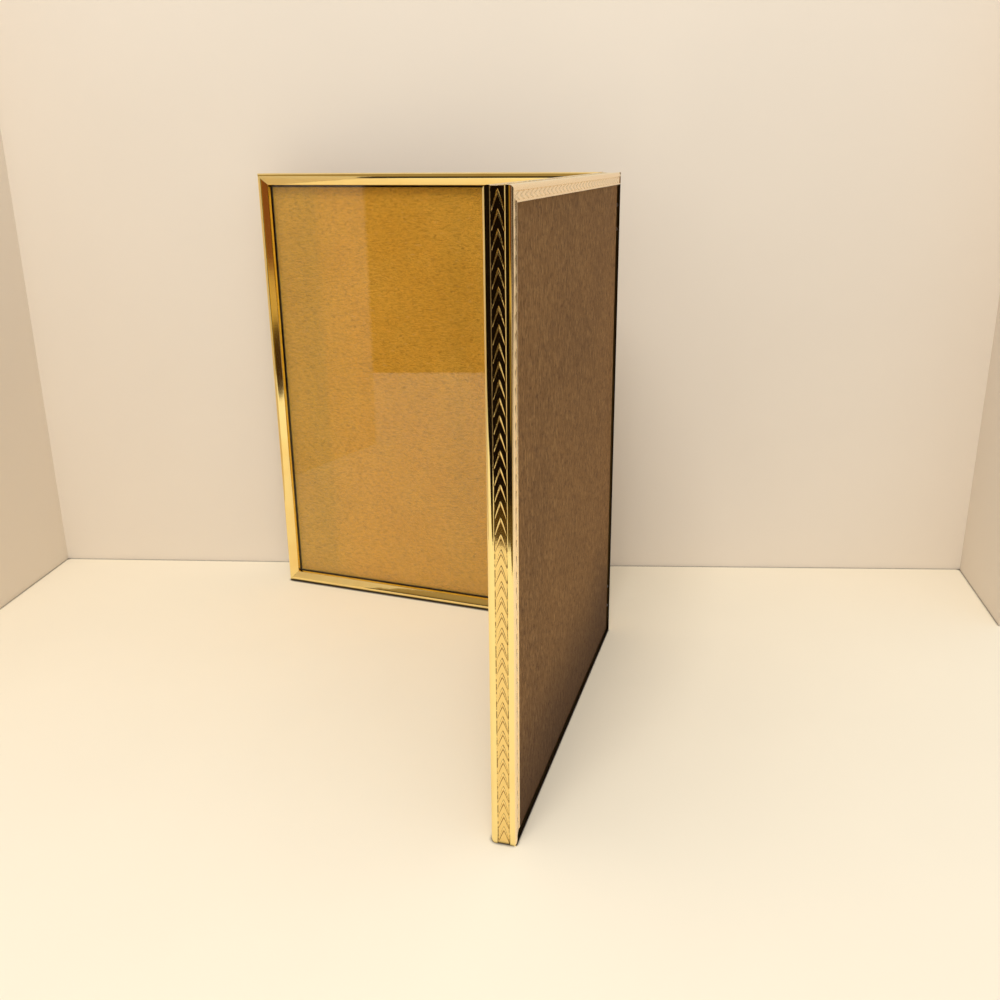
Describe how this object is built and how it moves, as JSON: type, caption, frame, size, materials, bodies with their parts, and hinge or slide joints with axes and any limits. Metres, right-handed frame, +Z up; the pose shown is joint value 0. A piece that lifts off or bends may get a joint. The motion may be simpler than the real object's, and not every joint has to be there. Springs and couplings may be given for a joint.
{
  "type": "hinged double photo frame",
  "caption": "Free-standing double picture frame: two glazed metal-railed leaves with board backs, hinged along one side so that they open and shut like a book.",
  "frame": {"origin": "on the standing surface, under the middle of the open frame's outline", "axes": "+Z up along the hinge axis; the open fronts face -Y, the hinge line is at +Y, the left leaf lies towards -X and the right leaf towards +X"},
  "size_m": [0.3202, 0.1468, 0.2572],
  "materials": {
    "gold_rail": "polished",
    "hinge_brass": "satin",
    "bracket_steel": "satin",
    "clear_glass": "polished",
    "tan_card": "matte",
    "grey_pad": "matte",
    "brown_board": "matte"
  },
  "bodies": {
    "left_leaf": {"left_outer_stile": "gold_rail", "left_top_rail": "gold_rail", "left_bottom_rail": "gold_rail", "left_hinge_stile": "gold_rail", "left_top_outer_bracket": "bracket_steel", "left_top_hinge_bracket": "bracket_steel", "left_bottom_outer_bracket": "bracket_steel", "left_bottom_hinge_bracket": "bracket_steel", "left_glass": "clear_glass", "left_picture_card": "tan_card", "left_filler_pad": "grey_pad", "left_back_board": "brown_board", "left_lower_hinge_plate": "hinge_brass", "left_upper_hinge_plate": "hinge_brass", "left_hinge_rivets": "hinge_brass", "lower_hinge_pin": "hinge_brass", "upper_hinge_pin": "hinge_brass"},
    "right_leaf": {"right_outer_stile": "gold_rail", "right_top_rail": "gold_rail", "right_bottom_rail": "gold_rail", "right_hinge_stile": "gold_rail", "right_top_outer_bracket": "bracket_steel", "right_top_hinge_bracket": "bracket_steel", "right_bottom_outer_bracket": "bracket_steel", "right_bottom_hinge_bracket": "bracket_steel", "right_glass": "clear_glass", "right_picture_card": "tan_card", "right_filler_pad": "grey_pad", "right_back_board": "brown_board", "right_lower_hinge_plate": "hinge_brass", "right_upper_hinge_plate": "hinge_brass", "right_hinge_rivets": "hinge_brass"}
  },
  "joints": [
    {"name": "leaf_hinge", "type": "hinge", "parent": "left_leaf", "child": "right_leaf", "pos_m": [0, 0.06565, 0], "axis": [0, 0, 1], "range_deg": [-94.8, 85.2]}
  ]
}
